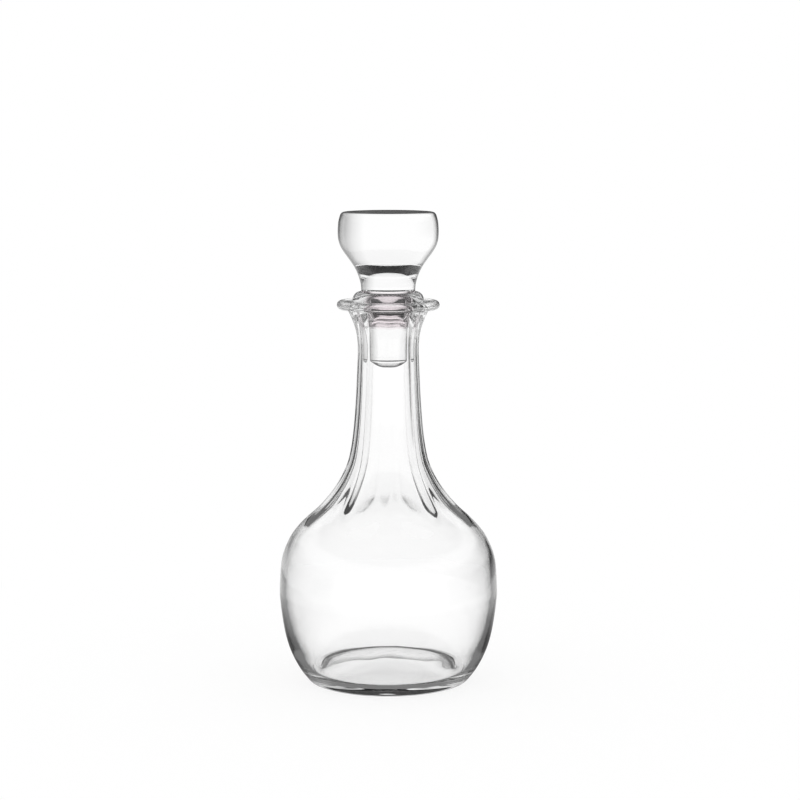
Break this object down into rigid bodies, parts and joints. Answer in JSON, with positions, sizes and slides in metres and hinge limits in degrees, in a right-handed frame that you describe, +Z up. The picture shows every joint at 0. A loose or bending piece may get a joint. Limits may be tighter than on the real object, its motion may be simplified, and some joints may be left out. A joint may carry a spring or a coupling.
{
  "type": "liquor bottle",
  "caption": "Round-bodied clear glass bottle with a flat-panelled neck, a drip ring round the mouth, and a solid glass stopper in a soft sleeve.",
  "frame": {"origin": "centre of the base, on the plane that the base ring rests on", "axes": "+Z up along the bottle's axis; one corner of the panelled neck faces -Y"},
  "size_m": [0.1162, 0.1162, 0.25],
  "materials": {
    "bottle_glass": "clear, fire-polished",
    "sleeve_plastic": "translucent, moulded",
    "stopper_glass": "clear, fire-polished"
  },
  "bodies": {
    "bottle": {"bottle": "bottle_glass"},
    "seal": {"stopper_seal": "sleeve_plastic"},
    "stopper": {"stopper": "stopper_glass"}
  },
  "joints": [
    {"name": "stopper_lift", "type": "slide", "parent": "bottle", "child": "seal", "axis": [0, 0, 1], "range_m": [0, 0.06]},
    {"name": "stopper_turn", "type": "hinge", "parent": "seal", "child": "stopper", "pos_m": [0, 0, 0.2], "axis": [0, 0, 1], "continuous": true}
  ]
}
